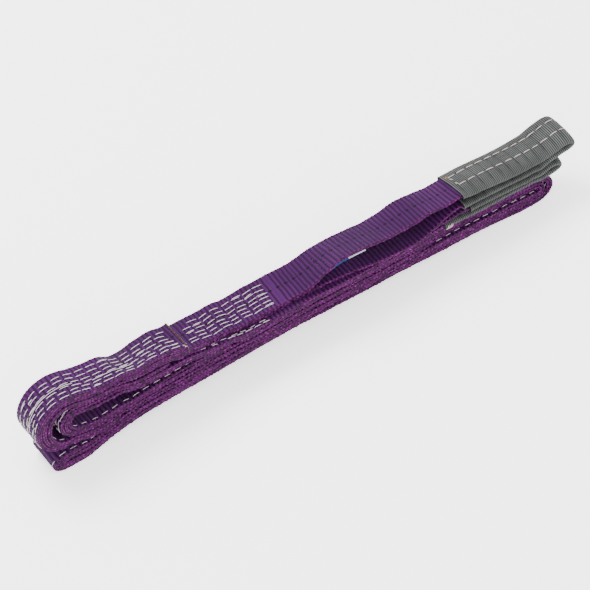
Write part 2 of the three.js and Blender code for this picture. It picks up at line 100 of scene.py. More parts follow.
def smooth(a, b, x):
    """A smooth rise from 0 at a to 1 at b."""
    t = np.clip((np.asarray(x, float) - a) / (b - a), 0, 1)
    return t * t * (3 - 2 * t)


def bump(a, b, c, d, x):
    """1 between b and c, falling smoothly to 0 at a and d."""
    return smooth(a, b, x) * (1 - smooth(c, d, x))


def profile(knots):
    """A smooth height over x through a few knots, with no overshoot between them."""
    kx, kz = np.array(knots, float).T
    rise = np.diff(kz) / np.diff(kx)
    slope = np.zeros(len(kx))
    for i in range(1, len(kx) - 1):
        if rise[i - 1] * rise[i] > 0:
            slope[i] = 2 * rise[i - 1] * rise[i] / (rise[i - 1] + rise[i])

    def height(x):
        x = np.clip(np.asarray(x, float), kx[0], kx[-1])
        i = np.clip(np.searchsorted(kx, x, side="right") - 1, 0, len(kx) - 2)
        span = kx[i + 1] - kx[i]
        t = (x - kx[i]) / span
        return (
            kz[i] * (1 + 2 * t) * (1 - t) ** 2
            + kz[i + 1] * t * t * (3 - 2 * t)
            + span * t * (1 - t) * (slope[i] * (1 - t) - slope[i + 1] * t)
        )

    return height


# ---- The stack of runs ----

underside = profile(
    [(-98, 0), (-86, 2.2), (-73, 5.4), (-58, 8.3), (-43, 10.3), (-13, 11.6), (45, 12.7), (95, 12.7),
     (142, 11.4), (190, 9.2), (238, 6.6), (287, 4), (318, 1.6), (334, 0)]
)
# The sewn splices and the folds are bulkier than plain plies: the height that one ply takes, over x.
SPLICE_KNOTS = [
    (-69, 3.2), (-53, 3.5), (-29, 4.2), (-13, 4.2), (0, 4.5), (17, 3.9), (32, 3.45), (60, 3.75), (95, 3.5),
    (125, 3.5), (165, 3.1), (200, PLY_PITCH),
]
upper_splice_pitch = profile([(-112, 4.45), (-98, 4.3), (-88, 3.85), *SPLICE_KNOTS])
lower_splice_pitch = profile([(-112, 3.45), (-88, 3.45), *SPLICE_KNOTS])


def plain_pitch(x):
    return PLY_PITCH + 0.45 * bump(215, 255, 335, 352, x)


def fold_pitch(x):
    return plain_pitch(x) + 1.25 * (1 - smooth(-108, -66, x))


def steady(value):
    return lambda x: value + 0 * x


def two_and_third(end):
    """Two plies, with a third between or on them up to its end."""
    return lambda x: 2 + (1 - smooth(end, end + 12, x))


def open_left(gap, hollow, start, end):
    """A gap that opens into a hollow towards the left, between two places."""
    return lambda x: gap + hollow * (1 - smooth(start, end, x))


def gap_under_a2(x):
    return open_left(0.5, 3.0, -106, -66)(x) + 1.0 * smooth(325, 345, x)


# The six runs from the lowest up: how many plies, the gap underneath and the height of one ply, each over x.
# a1 is the upper splice and b1 the lower one. The left folds join a1 to a2, b1 to b2 and a3 to b3, and the
# right folds join a2 to a3 and b2 to b3.
Run = namedtuple("Run", "name plies gap pitch")
RUNS = [
    Run("b3", steady(2), steady(0), fold_pitch),
    Run("a3", steady(2), open_left(0.3, 3.0, -110, -84), fold_pitch),
    Run("a2", two_and_third(UPPER_TAIL_X), gap_under_a2, plain_pitch),
    Run("b2", two_and_third(LOWER_TAIL_X), steady(0.4), plain_pitch),
    Run("b1", two_and_third(LOWER_STEP_X), open_left(0.5, 12.8, -74, -36), lower_splice_pitch),
    Run("a1", steady(3), steady(0.15), upper_splice_pitch),
]


def run_bottom(name, x):
    height = underside(x)
    for run in RUNS:
        height = height + run.gap(x)
        if run.name == name:
            return height
        height = height + run.plies(x) * run.pitch(x)


def ply(name, n):
    """Height over x of the middle of the nth ply from a run's bottom, or from its top where n is negative."""
    run = next(run for run in RUNS if run.name == name)
    if n > 0:
        return lambda x: run_bottom(name, x) + (n - 0.5) * run.pitch(x)
    return lambda x: run_bottom(name, x) + (run.plies(x) + n + 0.5) * run.pitch(x)


def room(sleeve_start, x):
    """Half the height that an eye's leg takes, which grows before its sleeve starts."""
    sleeved = smooth(sleeve_start - 34, sleeve_start - 4, x)
    return (lower_splice_pitch(x) * (1 - sleeved) + SLEEVE_PITCH * sleeved) / 2


def lower_eye_bottom(x):
    crown_rise = 0.8 * smooth(346, LOWER_CROWN_X, x)
    return run_bottom("b1", np.minimum(x, RIGHT_X)) + room(LOWER_SLEEVE_BOTTOM_X, x) + crown_rise


def lower_eye_top(x):
    both = room(LOWER_SLEEVE_BOTTOM_X, x) + room(LOWER_SLEEVE_TOP_X, x)
    return lower_eye_bottom(x) + both + 3.0 * smooth(342, LOWER_CROWN_X, x)


def upper_eye_bottom(x):
    both = room(LOWER_SLEEVE_TOP_X, x) + room(UPPER_SLEEVE_X, x)
    return lower_eye_top(np.minimum(x, LOWER_CROWN_X)) + both + 0.15 + 2.4 * smooth(350, UPPER_CROWN_X, x)


upper_leg_height = profile(
    [(112, 51.4), (124, 53.6), (134, 57), (148, 59.7), (156, 59.4), (165, 58.8), (177, 57.7), (190, 56),
     (204, 55.5), (222, 56), (234, 56), (250, 54.2), (261, 54.6), (270, 56.2), (284, 56.2), (300, 55.2),
     (319, 53.2), (334, 51.8), (349, 51.2), (364, 54.2), (376, 56.6)]
)


def upper_eye_top(x):
    """The upper leg stands off the one below past the splice, and never goes lower than its closed height."""
    closed = upper_eye_bottom(x) + 2 * room(UPPER_SLEEVE_X, x)
    free = smooth(104, 130, x)
    return np.maximum(closed * (1 - free) + upper_leg_height(x) * free, closed)


# ---- Sideways shift, tilt and droop ----

# A tilt is how much lower the web lies for each millimetre towards its far side.
left_tilt = profile(
    [(-96, 0.03), (-69, 0.04), (-53, 0.30), (-43, 0.28), (-29, 0.2), (-13, 0.1), (0, 0.08), (14, -0.02),
     (40, -0.1), (92, -0.17), (112, -0.1), (130, 0)]
)
under_tilt = profile([(-69, 0), (-53, 0.2), (-43, 0.19), (-20, 0.12), (0, 0.06), (60, -0.02)])
mid_tilt = profile([(-80, 0), (-53, 0.07), (-20, 0.06), (0, 0.03), (20, 0)])
upper_tilt = profile(
    [(92, -0.17), (108, -0.12), (120, -0.06), (134, 0.1), (148, 0.25), (177, 0.25), (204, 0.13), (222, 0.05),
     (234, 0.15), (252, 0.2), (268, 0.26), (284, 0.24), (319, 0.2), (349, 0.16), (364, 0.06), (382, 0.08)]
)


def lowest_shift(x):
    return -1.6 * (1 - smooth(-104, -70, x)) - 0.5 * smooth(210, 250, x)


# The sideways shift and the tilt of each run and eye leg, over x.
SIDE = {
    "b3": (lowest_shift, steady(0)),
    "a3": (lowest_shift, lambda x: -0.13 * (1 - smooth(-108, -84, x))),
    "mid": (lambda x: -0.4 + 2.5 * smooth(215, 262, x), mid_tilt),
    "b1": (profile([(-100, 1.6), (-8, 1.6), (34, -2.6), (90, -4.4), (200, -4.0)]), under_tilt),
    "a1": (profile([(-112, 1.2), (-30, 1.6), (20, 0.8)]), left_tilt),
    "lower_eye": (profile([(70, -4.4), (180, -4.4), (225, -1.6), (357, -1.0)]), steady(0)),
    "upper_bottom": (
        profile([(100, 0.8), (140, -0.6), (190, -4.6), (220, -5.0), (262, -1.0), (372, -0.4)]),
        lambda x: upper_tilt(np.minimum(x, 119)) * (1 - smooth(108, 126, x)),
    ),
    "upper_top": (steady(0.8), upper_tilt),
}
# The near side of the sleeved legs hangs down over the leg below by this much.
NEAR_DROOP = {
    "upper_top": lambda x: 4.6 * bump(262, 276, 350, 366, x) + 3.4 * smooth(350, 366, x),
    "lower_eye": lambda x: 0.6 * smooth(230, 262, x),
}


def droop_of(side, x):
    return NEAR_DROOP.get(side, steady(0))(x)


# ---- Centre lines of plies ----

# The columns of a line; HALF is half the ply's thickness and DROOP that of the near side.
X, Y, Z, TILT, HALF, DROOP = range(6)


def along(height, side, start, end, pitch=plain_pitch):
    count = max(int(abs(end - start) / STEP), 2)
    x = np.linspace(start, end, count)
    shift, tilt = SIDE[side]
    return np.column_stack([x, shift(x), height(x), tilt(x), pitch(x) / 2, droop_of(side, x)])


def turn(x, from_z, to_z, reach, sides=("mid", "mid"), halves=(PLY_PITCH / 2, PLY_PITCH / 2), swell=0.0):
    """A fold at x, from one run to the next, standing out by reach to the right and thicker by swell."""
    middle, radius = (from_z + to_z) / 2, (from_z - to_z) / 2
    count = max(int(math.pi * (abs(radius) + abs(reach)) / 2 / STEP), 8)
    angle = np.linspace(0, math.pi, count)[1:-1]
    part = smooth(0, math.pi, angle)
    shift, tilt = ([SIDE[side][k](x) for side in sides] for k in (0, 1))
    return np.column_stack([
        x + reach * np.sin(angle),
        shift[0] * (1 - part) + shift[1] * part,
        middle + radius * np.cos(angle),
        tilt[0] * (1 - part) + tilt[1] * part,
        halves[0] * (1 - part) + halves[1] * part + swell * np.sin(angle),
        droop_of(sides[0], x) * (1 - part),
    ])


def span(line):
    return (len(line) - 1) * STEP


def even_line(rows):
    """The line at equal spacing along its length, with small kinks smoothed away."""
    rows = np.vstack(rows)
    keep = np.concatenate([[True], np.hypot(*np.diff(rows[:, [X, Z]], axis=0).T) > 1e-4])
    rows = rows[keep]
    length = np.concatenate([[0], np.cumsum(np.hypot(*np.diff(rows[:, [X, Z]], axis=0).T))])
    at = np.linspace(0, length[-1], int(round(length[-1] / STEP)) + 1)
    columns = range(rows.shape[1])
    line = np.column_stack([np.interp(at, length, rows[:, k]) for k in columns])
    width = int(4 * LINE_BLUR / STEP)
    kernel = np.exp(-0.5 * (np.arange(-width, width + 1) * STEP / LINE_BLUR) ** 2)
    kernel /= kernel.sum()
    start, end = line[0], line[-1]
    before = start + (line[1] - start) * np.arange(-width, 0)[:, None]
    after = end + (end - line[-2]) * np.arange(1, width + 1)[:, None]
    padded = np.vstack([before, line, after])
    return np.column_stack([np.convolve(padded[:, k], kernel, "valid") for k in columns])


def body_line(web, start, end):
    """The way of web 1 or 2 through the six runs and five folds, from the upper splice to the lower one."""
    one = web == 1
    outward = 1 if one else -1
    a1 = ply("a1", 3 if one else 1)
    a2 = ply("a2", 1 if one else -1)
    a3 = ply("a3", -1 if one else 1)
    b3 = ply("b3", 1 if one else -1)
    b2 = ply("b2", -1 if one else 1)
    b1 = ply("b1", 1 if one else 3)
    half = PLY_PITCH / 2
    thick, thin = upper_splice_pitch(LEFT_OUTER_X), lower_splice_pitch(LEFT_INNER_X)
    low = fold_pitch(LEFT_MIDDLE_X) / 2

    def fold(x, above, below, reach, *shape):
        return turn(x, above(x), below(x), reach, *shape)

    return even_line([
        along(a1, "a1", start, LEFT_OUTER_X, upper_splice_pitch),
        fold(LEFT_OUTER_X, a1, a2, -(LEFT_OUTER_REACH + outward * thick), ("a1", "mid"),
             (thick / 2, half), OUTER_SWELL),
        along(a2, "mid", LEFT_OUTER_X, RIGHT_X),
        fold(RIGHT_X, a2, a3, RIGHT_INNER_REACH - outward * half, ("mid", "a3")),
        along(a3, "a3", RIGHT_X, LEFT_MIDDLE_X, fold_pitch),
        fold(LEFT_MIDDLE_X, a3, b3, -(LEFT_MIDDLE_REACH + outward * low), ("a3", "b3"), (low, low)),
        along(b3, "b3", LEFT_MIDDLE_X, RIGHT_X, fold_pitch),
        fold(RIGHT_X, b3, b2, RIGHT_OUTER_REACH + outward * half, ("b3", "mid")),
        along(b2, "mid", RIGHT_X, LEFT_INNER_X),
        fold(LEFT_INNER_X, b2, b1, -(LEFT_INNER_REACH - outward * thin), ("mid", "b1"),
             (half, thin / 2), INNER_SWELL),
        along(b1, "b1", LEFT_INNER_X, end, lower_splice_pitch),
    ])


# The runs that a splice's tail joins, and the fold that it goes round.
Splice = namedtuple("Splice", "run below pitch fold_x reach swell tail_end")
UPPER_SPLICE = Splice(
    "a1", "a2", upper_splice_pitch, LEFT_OUTER_X, LEFT_OUTER_REACH, OUTER_SWELL, UPPER_TAIL_X
)
LOWER_SPLICE = Splice(
    "b1", "b2", lower_splice_pitch, LEFT_INNER_X, LEFT_INNER_REACH, INNER_SWELL, LOWER_TAIL_X
)


def tail_line(splice, start):
    """A tail between a splice's plies: from its start to the left, round the fold and back to its end."""
    above, below, x = ply(splice.run, 2), ply(splice.below, 2), splice.fold_x
    halves = splice.pitch(x) / 2, PLY_PITCH / 2
    return even_line([
        along(above, splice.run, start, x, splice.pitch),
        turn(x, above(x), below(x), -splice.reach, (splice.run, "mid"), halves, splice.swell),
        along(below, "mid", x, splice.tail_end),
    ])


Eye = namedtuple("Eye", "top bottom sides crown reach")
UPPER_EYE = Eye(
    upper_eye_top, upper_eye_bottom, ("upper_top", "upper_bottom"), UPPER_CROWN_X, UPPER_CROWN_REACH
)
LOWER_EYE = Eye(lower_eye_top, lower_eye_bottom, ("lower_eye", "lower_eye"), LOWER_CROWN_X, LOWER_CROWN_REACH)


def eye_rows(eye, top_from, bottom_to):
    """The rows of an eye: along its upper leg to the crown and back along its lower leg."""
    return [
        along(eye.top, eye.sides[0], top_from, eye.crown, lower_splice_pitch),
        turn(eye.crown, eye.top(eye.crown), eye.bottom(eye.crown), eye.reach, eye.sides),
        along(eye.bottom, eye.sides[1], eye.crown, bottom_to, lower_splice_pitch),
    ]


def length_at(line, x, after, rightward):
    """Length along a line at which it first reaches x, past a given length, going left or right."""
    for i in range(max(int(after / STEP), 1), len(line)):
        a, b = line[i - 1, X], line[i, X]
        if (a - x) * (b - x) <= 0 and (b > a) == rightward:
            return i * STEP
    return span(line)


# ---- Mesh helpers ----

def make_mesh(name, points, faces, uv, material, **values):
    """An object from millimetre points, faces and UV pairs; values are named floats for each point."""
    mesh = bpy.data.meshes.new(name)
    mesh.from_pydata(to_row(points).tolist(), [], faces)
    layer = mesh.uv_layers.new(name="cloth")
    corners = np.zeros(len(mesh.loops), np.int32)
    mesh.loops.foreach_get("vertex_index", corners)
    layer.data.foreach_set("uv", np.asarray(uv, np.float32)[corners].ravel())
    mesh.materials.append(material)
    mesh.polygons.foreach_set("use_smooth", [True] * len(mesh.polygons))
    for key, data in values.items():
        attribute = mesh.attributes.new(key, "FLOAT", "POINT")
        attribute.data.foreach_set("value", np.asarray(data, np.float32).ravel())
    mesh.update()
    obj = bpy.data.objects.new(name, mesh)
    bpy.context.scene.collection.objects.link(obj)
    return obj


def normals_of(line):
    """Unit normal in the section, to the left of the way, at each point of a line."""
    tangent = np.gradient(line[:, [X, Z]], axis=0)
    tangent /= np.linalg.norm(tangent, axis=1)[:, None]
    return np.column_stack([-tangent[:, 1], tangent[:, 0]])


def resample(line, count):
    at = np.linspace(0, len(line) - 1, count)
    whole = np.arange(len(line))
    return np.column_stack([np.interp(at, whole, line[:, k]) for k in range(line.shape[1])])


def sample(rows, index):
    """Rows of a line or of its normals at places between them."""
    i = np.clip(index.astype(int), 0, len(rows) - 2)
    t = (index - i)[:, None]
    return rows[i] * (1 - t) + rows[i + 1] * t


def fall(line, across):
    """How much lower than the middle a line's web lies at a place across it."""
    return line[:, TILT] * across + line[:, DROOP] * np.clip((-3 - np.asarray(across)) / 14, 0, 1.1) ** 1.6


def place(line, normal, across, out):
    """Points at a place across the web and a height over its middle, for each station of a line."""
    x = line[:, X] + normal[:, 0] * out
    z = line[:, Z] + normal[:, 1] * out - fall(line, across)
    return np.column_stack([x, line[:, Y] + across, z])


def over_face(line, normal, s, across, rise, side=1, hug=1.0):
    """Points over a face of a web, for lengths s along it; hug scales the half thickness under them."""
    index = np.clip(s / STEP, 0, len(line) - 1.001)
    rows, norms = sample(line, index), sample(normal, index)
    norms /= np.linalg.norm(norms, axis=1)[:, None]
    return place(rows, norms, across, side * (rows[:, HALF] * hug + rise))


def tube_faces(rings, around):
    i = np.arange(rings - 1)[:, None] * around
    j = np.arange(around)[None, :]
    k = (j + 1) % around
    return np.stack([i + j, i + k, i + around + k, i + around + j], axis=-1).reshape(-1, 4)


def capped_faces(rings, around):
    """Faces of a band whose sections run the other way round, with both ends closed."""
    faces = tube_faces(rings, around)[:, ::-1].tolist()
    faces.append(list(range(around)))
    faces.append([(rings - 1) * around + k for k in reversed(range(around))])
    return faces


def arch(f):
    """A rounded rib over each whole number of f, 0 in the grooves and 1 on the crests."""
    g = 2 * (f - np.floor(f)) - 1
    return np.sqrt(np.clip(1 - g * g, 0, 1))


def wander(rng, s, length, size):
    """Smooth random wandering along s."""
    knots = np.arange(s.min() - length, s.max() + 2 * length, length)
    values = rng.normal(0, size, len(knots))
    t = (s - knots[0]) / length
    i = t.astype(int)
    f = t - i
    f = f * f * (3 - 2 * f)
    return values[i] * (1 - f) + values[i + 1] * f


# ---- Ribbed web ----

SAMPLES_PER_RIB = 9
RIB_DEPTH = 0.42
FACE_V = [-14.5, -13.8, -12.9, -11.8, -8.0, -4.0, 0.0, 4.0, 8.0, 11.8, 12.9, 13.8, 14.5]
EDGE_LEVELS = [0.94, 0.66, 0.33, 0.0, -0.33, -0.66, -0.94]
EDGE_V, EDGE_LUMP = 14.3, 0.85  # where the woven edge starts, and how far its lumps stand out
LUMP_LEVEL, LUMP_HEIGHT = 0.5, 0.34  # the two rows of lumps, as shares of the half thickness
LUMPS_PER_RIB = 1.25
HEM_V, HEM_DEPTH = 12.9, 0.12  # the shallow groove beside each edge
PLY_CLEARANCE = 0.02


def lump(rng, f):
    """Rounded lumps, one over each whole number of f, each of its own size."""
    count = int(f.max()) - int(f.min()) + 4
    size = np.clip(rng.normal(1.0, 0.34, count), 0.45, 1.45)
    return arch(f) * size[(np.floor(f) - math.floor(f.min())).astype(int)]


def web(name, line, material, seed, bands=()):
    """A ply of ribbed webbing on a centre line; bands are lengths along it that are pressed smooth."""
    rng = np.random.default_rng(seed)
    length = span(line)
    rings = max(int(round(length / RIB_PITCH * SAMPLES_PER_RIB)), 8) + 1
    line = resample(line, rings)
    s = np.linspace(0, length, rings)
    f = s / RIB_PITCH
    line[:, Y] += wander(rng, s, 38, 0.42) * smooth(0, 30, s) * smooth(0, 30, length - s)
    normal = normals_of(line)
    half = line[:, HALF] - PLY_CLEARANCE
    strength = 1 + 0.16 * wander(rng, s, RIB_PITCH, 1.0)
    pressed = np.zeros(rings)
    for low, high in bands:
        pressed += bump(low - 0.5, low + 0.5, high - 0.5, high + 0.5, s)
    columns, uv, relief = [], [], []

    def face(v, sign):
        skew = 0.05 * wander(rng, s, 9, 1.0)
        rib = (0.5 - 0.5 * np.cos(2 * math.pi * (f + skew))) ** 0.85
        rib = rib * (1 - 0.75 * pressed) + 0.55 * pressed
        rim = HEM_DEPTH if abs(v) > 14 else 0.0
        hem = HEM_DEPTH * np.exp(-((abs(v) - HEM_V) / 0.5) ** 2)
        out = half - RIB_DEPTH * strength * (1 - rib) * (0.6 if abs(v) > 13 else 1.0) - rim - hem
        columns.append(place(line, normal, v, sign * out))
        uv.append(np.column_stack([f, np.full(rings, 0.5 + v / WEB_WIDTH)]))
        # relief is the rib height, which also sets the painted shade in the grooves.
        relief.append(rib)

    def edge(rows, level, sign):
        high, low = (
            row * math.exp(-(((level - middle) / LUMP_HEIGHT) ** 2))
            for row, middle in zip(rows, (LUMP_LEVEL, -LUMP_LEVEL))
        )
        stitch = np.maximum(high, low)
        v = sign * (EDGE_V + EDGE_LUMP * stitch)
        columns.append(place(line, normal, v, half * level * (0.92 + 0.06 * stitch)))
        uv.append(np.column_stack([f, np.full(rings, 0.5 + sign * 0.56)]))
        # relief here is the lump height, which sets the edge's painted shade and painted highlight.
        relief.append(np.clip(stitch, 0, 1.3))

    def edges(sign, levels):
        chain = LUMPS_PER_RIB * (f + 0.06 * wander(rng, s, 12, 1.0))
        rows = lump(rng, chain + 0.25), lump(rng, chain + 0.75)
        for level in levels:
            slanted = [np.interp(s + 1.1 * level * sign, s, row) for row in rows]
            edge(slanted, level, sign)

    for v in FACE_V:
        face(v, 1)
    edges(1, EDGE_LEVELS)
    for v in reversed(FACE_V):
        face(v, -1)
    edges(-1, EDGE_LEVELS[::-1])
    around = len(columns)
    points = np.stack(columns, axis=1).reshape(-1, 3)
    coords = np.stack(uv, axis=1).reshape(-1, 2)
    values = dict(relief=np.stack(relief, axis=1), pressed=np.repeat(pressed, around))
    return make_mesh(name, points, capped_faces(rings, around), coords, material, **values)


# ---- Wear sleeves ----

SLEEVE_ROWS = (-3.5, 9.6)  # where across the sleeve its two lengthwise seams run
SLEEVE_STITCH = 9.4  # pitch of their stitches, each of which draws the sleeve in
SLEEVE_WALL = 0.95
SLEEVE_AROUND = 56
SAMPLES_PER_SLEEVE_RIB = 6
SLACK_PLACES = 5  # places across the sleeve that wander in and out on their own


def sleeve(name, line, material, seed):
    """A flat tube of fine ribs with open ends, outer skin and inner skin in one piece."""
    rng = np.random.default_rng(seed)
    length = span(line)
    rings = int(length / SLEEVE_RIB_PITCH * SAMPLES_PER_SLEEVE_RIB) + 1
    line = resample(line, rings)
    s = np.linspace(0, length, rings)
    f = s / SLEEVE_RIB_PITCH
    line[:, Y] += wander(rng, s, 45, 0.4)
    normal = normals_of(line)
    turns = np.arange(SLEEVE_AROUND) / SLEEVE_AROUND * 2 * math.pi
    flare = 0.9 * np.exp(-np.minimum(s, length - s) / 2.5)
    crease = (0.5 + 0.5 * np.cos(2 * math.pi * (s - 4) / SLEEVE_STITCH)) ** 5
    waves = [wander(rng, s, 10, 1.0) for _ in range(SLACK_PLACES)]
    relief = []

    def column(angle, inner):
        """The points along the sleeve at one place round its skin."""
        wall = SLEEVE_WALL if inner else 0.0
        c, n = math.cos(angle), math.sin(angle)
        v = np.sign(c) * abs(c) ** 0.36 * (SLEEVE_WIDTH / 2 - wall)
        out = np.sign(n) * abs(n) ** 0.62 * (SLEEVE_THICK / 2 - wall)
        flat = 1 - abs(v / SLEEVE_WIDTH * 2) ** 4
        slack = (v / SLEEVE_WIDTH + 0.5) * (SLACK_PLACES - 1.001)
        wave = waves[int(slack)] * (1 - slack % 1) + waves[int(slack) + 1] * (slack % 1)
        sewn = max(math.exp(-(((v - row) / 1.8) ** 2)) for row in SLEEVE_ROWS)
        near = math.exp(-(((v + 8) / 7) ** 2))
        pucker = -(0.16 + 0.85 * crease) * sewn - 0.75 * crease * near
        rib = 0.5 - 0.5 * np.cos(2 * math.pi * (f + 0.07 * wander(rng, s, 5, 1.0)))
        depth = 0 if inner else 0.3 * (rib - 1)
        swell = (0.36 * wave + pucker) * flat + flare
        side = v + np.sign(c) * (depth + 0.3 * flare) * (abs(c) > 0.6)
        # Painted shade in the creases where each stitch draws the sleeve in, taken off relief.
        shade = 0 if inner else crease * (0.5 * sewn + 0.32 * near)
        relief.append(np.clip(rib - shade, 0, 1))
        return place(line, normal, side, out + np.sign(n) * (depth + swell) * abs(n) ** 0.5)

    outer = np.stack([column(angle, False) for angle in turns], axis=1)
    inner = np.stack([column(angle, True) for angle in turns], axis=1)
    points = np.vstack([outer.reshape(-1, 3), inner.reshape(-1, 3)])
    count = rings * SLEEVE_AROUND
    quads = tube_faces(rings, SLEEVE_AROUND)
    faces = quads.tolist() + (quads[:, ::-1] + count).tolist()
    for end in (0, rings - 1):
        for j in range(SLEEVE_AROUND):
            a, b = end * SLEEVE_AROUND + j, end * SLEEVE_AROUND + (j + 1) % SLEEVE_AROUND
            faces.append([a, b, b + count, a + count] if end else [b, a, a + count, b + count])
    coords = np.column_stack([np.repeat(f, SLEEVE_AROUND), np.tile(turns / (2 * math.pi), rings)])
    skins = relief[:SLEEVE_AROUND], relief[SLEEVE_AROUND:]
    values = np.concatenate([np.stack(skin, axis=1).ravel() for skin in skins])
    return make_mesh(name, points, faces, np.vstack([coords, coords]), material, relief=values)


# ---- Sewing thread ----

THREAD_AROUND = 6
THREAD_FLATNESS = 0.8
FACE_HUG = 0.97  # stitches lie a little under the crests of the ribs
# Heights of a stitch over the face, from end to end: along the web as shares of the thread's radius, and
# across it in millimetres.
LONG_STITCH = np.array([-0.27, 0.8, 1.0, 1.05, 1.0, 0.8, -0.27])
CROSS_STITCH = np.array([-0.5, -0.05, 0.1, 0.16, 0.1, -0.05, -0.5])
TACK_STITCH = np.array([-0.5, -0.1, 0.08, 0.12, 0.08, -0.1, -0.5])


class Thread:
    """Collects the visible stitches of one seam into one mesh."""

    def __init__(self):
        self.points, self.faces, self.uv = [], [], []

    def strand(self, path, radius):
        """A round strand through points in millimetres, with tapered ends, never below the floor."""
        path = np.array(path, float)
        path[:, Z] = np.maximum(path[:, Z], radius - SHIFT_Z)
        count = len(path)
        tangent = np.gradient(path, axis=0)
        tangent /= np.linalg.norm(tangent, axis=1)[:, None]
        up = np.cross(tangent, (0, 1, 0))
        up /= np.maximum(np.linalg.norm(up, axis=1)[:, None], 1e-6)
        aside = np.cross(tangent, up)
        taper = np.ones(count)
        taper[0] = taper[-1] = 0.55
        start = sum(len(p) for p in self.points)
        length = np.concatenate([[0], np.cumsum(np.linalg.norm(np.diff(path, axis=0), axis=1))])
        rings = []
        for k in range(THREAD_AROUND):
            angle = 2 * math.pi * k / THREAD_AROUND
            twist = 1 + 0.12 * np.sin(length * 5.2 + 2 * angle)
            offset = aside * math.cos(angle) + up * math.sin(angle) * THREAD_FLATNESS
            rings.append(path + offset * (radius * taper * twist)[:, None])
        self.points.append(np.stack(rings, axis=1).reshape(-1, 3))
        self.faces += (tube_faces(count, THREAD_AROUND) + start).tolist()
        self.faces.append([start + k for k in reversed(range(THREAD_AROUND))])
        self.faces.append([start + (count - 1) * THREAD_AROUND + k for k in range(THREAD_AROUND)])
        u = np.repeat(length, THREAD_AROUND)
        v = np.tile(np.arange(THREAD_AROUND) / THREAD_AROUND, count)
        self.uv.append(np.column_stack([u, v]))

    def stitch(self, line, normal, at, length, y, side, radius, yaw=0.0, lift=0.0):
        """One stitch on a face of a web: it rises out of the web, lies on it and dives back in."""
        spread = np.linspace(-0.5, 0.5, len(LONG_STITCH)) * length
        rise = LONG_STITCH * radius + lift
        self.strand(over_face(line, normal, at + spread, y + yaw * spread, rise, side, FACE_HUG), radius)

    def row(self, rng, line, y, side, dash, pitch, radius, start, end, wobble=0.12, yaw=0.0, doubled=0.0):
        """A row of stitches from one length along a line to another; doubled is the share sewn twice."""
        normal = normals_of(line)
        at = start + dash / 2 + rng.uniform(0, 0.7) * (pitch - dash)
        number = 0
        while at + dash / 2 < end:
            aside = y + rng.normal(0, wobble)
            slant = yaw * (-1) ** number + rng.normal(0, 0.03)
            self.stitch(line, normal, at, dash * rng.uniform(0.88, 1.12), aside, side,
                        radius * rng.uniform(0.9, 1.08), slant)
            if rng.uniform() < doubled:
                self.stitch(line, normal, at + rng.uniform(-1.8, 1.8), dash * rng.uniform(0.7, 1.15),
                            aside + rng.choice([-0.75, 0.75]), side, radius * 0.9,
                            slant + rng.normal(0, 0.06), lift=0.08)
            at += pitch * rng.uniform(0.93, 1.07)
            number += 1

    def crosswise(self, line, at, y0, y1, radius, heights, lean=0.0):
        """A stitch across a sleeve or web, from y0 to y1, at a length along its line."""
        s = at + lean * np.linspace(-0.5, 0.5, len(heights))
        across = np.linspace(y0, y1, len(heights))
        self.strand(over_face(line, normals_of(line), s, across, heights), radius)

    def follow(self, rng, line, y, side, start, end, radius):
        """A long loose strand lying on a face, from one length along the line to another."""
        s = np.arange(start, end, 1.5)
        across = y + wander(rng, s, 14, 0.45)
        rise = 0.1 + radius * 0.6 + 0.1 * np.sin(s * 0.9)
        self.strand(over_face(line, normals_of(line), s, across, rise, side), radius)

    def build(self, name, material, body, *nodes, slot="white_thread"):
        """The seam as one piece on a body, in place of the CAD's thread where it has one."""
        obj = make_mesh(name, np.vstack(self.points), self.faces, np.vstack(self.uv), material)
        if nodes:
            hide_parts(*nodes)
        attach(obj, body)


# ---- Materials ----

VIOLET_DEEP, VIOLET_BODY, VIOLET_PALE = (0.026, 0.0030, 0.038), (0.042, 0.0058, 0.058), (0.066, 0.014, 0.084)
# VIOLET_GROOVE_SHADE is painted shade, laid into the rib grooves of the violet web.
VIOLET_GROOVE_SHADE, VIOLET_LINE = (0.0105, 0.0009, 0.0145), (0.0020, 0.0012, 0.0035)
VIOLET_PRESSED = (0.036, 0.0085, 0.064)
MAGENTA_STRIPE, MAGENTA_BODY = (0.066, 0.0050, 0.064), (0.070, 0.0050, 0.068)
# MAGENTA_RECESS_SHADE is painted shade in the recesses between the edge lumps, and MAGENTA_LUMP_HIGHLIGHT a
# speckled painted highlight on their tops.
MAGENTA_RECESS_SHADE, MAGENTA_LUMP_HIGHLIGHT = (0.010, 0.0007, 0.0115), (0.150, 0.016, 0.150)
GREY_DEEP, GREY_BODY, GREY_PALE = (0.050, 0.053, 0.052), (0.074, 0.079, 0.077), (0.150, 0.160, 0.156)
# GREY_GROOVE_SHADE is painted shade in the sleeve's rib grooves and in its creases at the stitches.
GREY_GROOVE_SHADE = (0.0085, 0.0095, 0.0095)
YARNS_ACROSS = 44  # fine lengthwise yarns over the web's width


